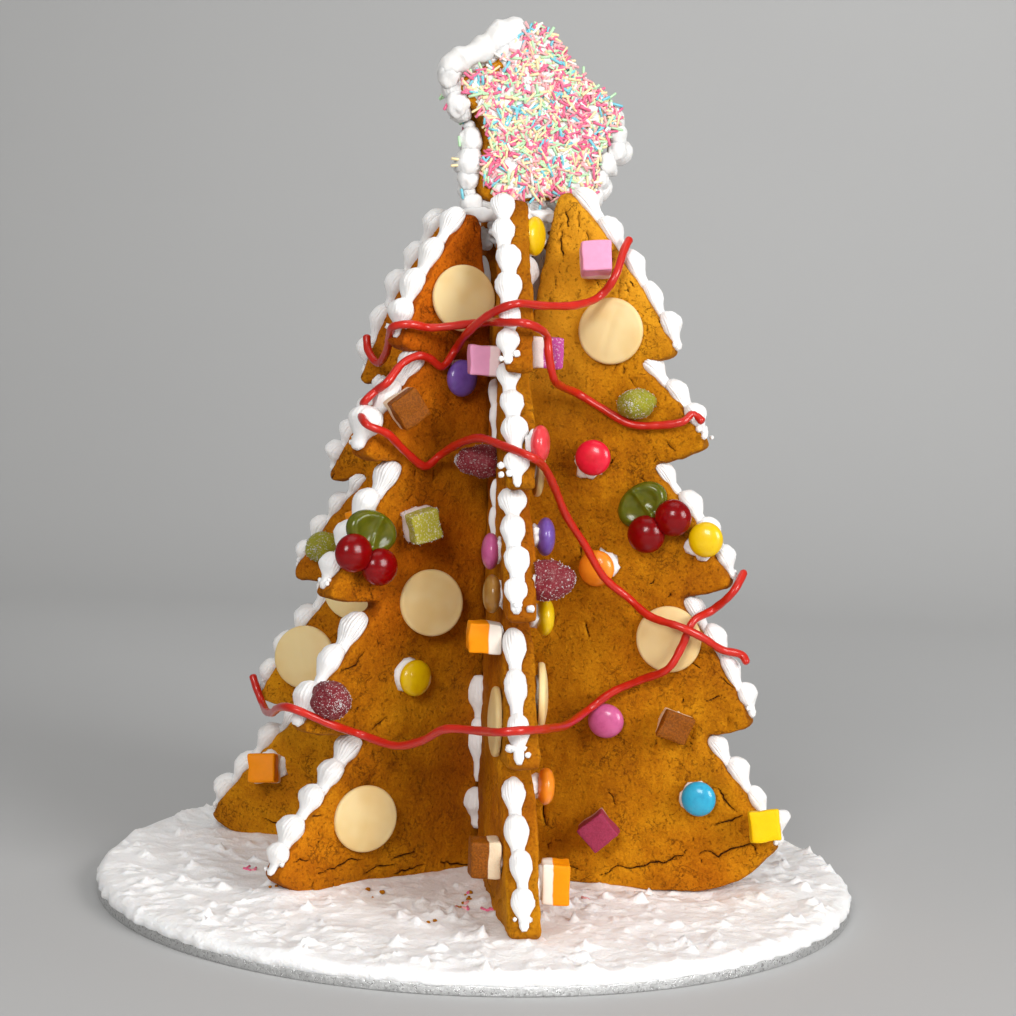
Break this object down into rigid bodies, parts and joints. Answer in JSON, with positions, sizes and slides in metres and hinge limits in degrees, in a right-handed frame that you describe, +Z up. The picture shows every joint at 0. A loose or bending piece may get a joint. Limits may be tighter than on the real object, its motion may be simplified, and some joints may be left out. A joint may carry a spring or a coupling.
{
  "type": "gingerbread tree",
  "caption": "Standing gingerbread Christmas tree of upright fins on a round board, piped with icing, hung with sweets and red laces, with a sprinkled star on top.",
  "frame": {"origin": "middle of the round board's underside, on the table", "axes": "+Z up through the tree, -Y towards the front fin's edge, +X to the right as seen from the front"},
  "size_m": [0.305, 0.305, 0.3534],
  "materials": {
    "gingerbread": "baked, matt, finely pitted",
    "icing": "dry royal icing, soft sheen",
    "foil": "silver foil over card",
    "lace": "glossy liquorice-style lace",
    "sweet_cream": "smooth white chocolate, satin",
    "sweet_yellow": "polished sugar shell",
    "sweet_red": "polished sugar shell, or clear jelly",
    "sweet_coral": "polished sugar shell",
    "sweet_orange": "polished sugar shell, or pressed fondant",
    "sweet_pink": "polished sugar shell, or pressed fondant",
    "sweet_purple": "polished sugar shell, or sugared jelly",
    "sweet_blue": "polished sugar shell",
    "sweet_brown": "polished sugar shell, or pressed fondant",
    "sweet_green": "sugared jelly"
  },
  "bodies": {
    "root": {"board": "foil", "snow_icing": "icing", "fin_front": "gingerbread", "fin_right": "gingerbread", "fin_back_right": "gingerbread", "fin_back": "gingerbread", "fin_back_left": "gingerbread", "fin_left": "gingerbread", "front_right_lentil_1": "sweet_yellow", "front_right_cube_1": "sweet_pink", "front_right_lentil_2": "sweet_coral", "front_right_button_1": "sweet_cream", "front_right_lentil_3": "sweet_purple", "front_right_dome_1": "sweet_purple", "front_right_lentil_4": "sweet_yellow", "front_right_button_2": "sweet_cream", "front_right_lentil_5": "sweet_orange", "front_right_cube_2": "sweet_orange", "front_left_cube_1": "sweet_pink", "front_left_dome_1": "sweet_purple", "front_left_lentil_1": "sweet_pink", "front_left_lentil_2": "sweet_brown", "front_left_cube_2": "sweet_orange", "front_left_button_1": "sweet_cream", "front_left_cube_3": "sweet_brown", "right_cube_1": "sweet_pink", "right_button_1": "sweet_cream", "right_gumdrop_1": "sweet_green", "right_lentil_1": "sweet_red", "right_cherries_1": "sweet_red", "right_lentil_2": "sweet_yellow", "right_lentil_3": "sweet_orange", "right_button_2": "sweet_cream", "right_lentil_4": "sweet_pink", "right_cube_2": "sweet_brown", "right_lentil_5": "sweet_blue", "right_cube_3": "sweet_yellow", "right_cube_4": "sweet_purple", "back_left_gumdrop_1": "sweet_green", "back_left_button_1": "sweet_cream", "back_left_button_2": "sweet_cream", "back_left_cube_1": "sweet_orange", "left_button_1": "sweet_cream", "left_lentil_1": "sweet_purple", "left_cube_1": "sweet_brown", "left_cherries_1": "sweet_red", "left_cube_2": "sweet_green", "left_button_2": "sweet_cream", "left_lentil_2": "sweet_yellow", "left_dome_1": "sweet_purple", "left_button_3": "sweet_cream", "lace_high": "lace", "lace_second": "lace", "lace_third": "lace", "lace_low": "lace", "star_front": "gingerbread", "star_back": "gingerbread", "star_icing": "icing"}
  },
  "joints": []
}
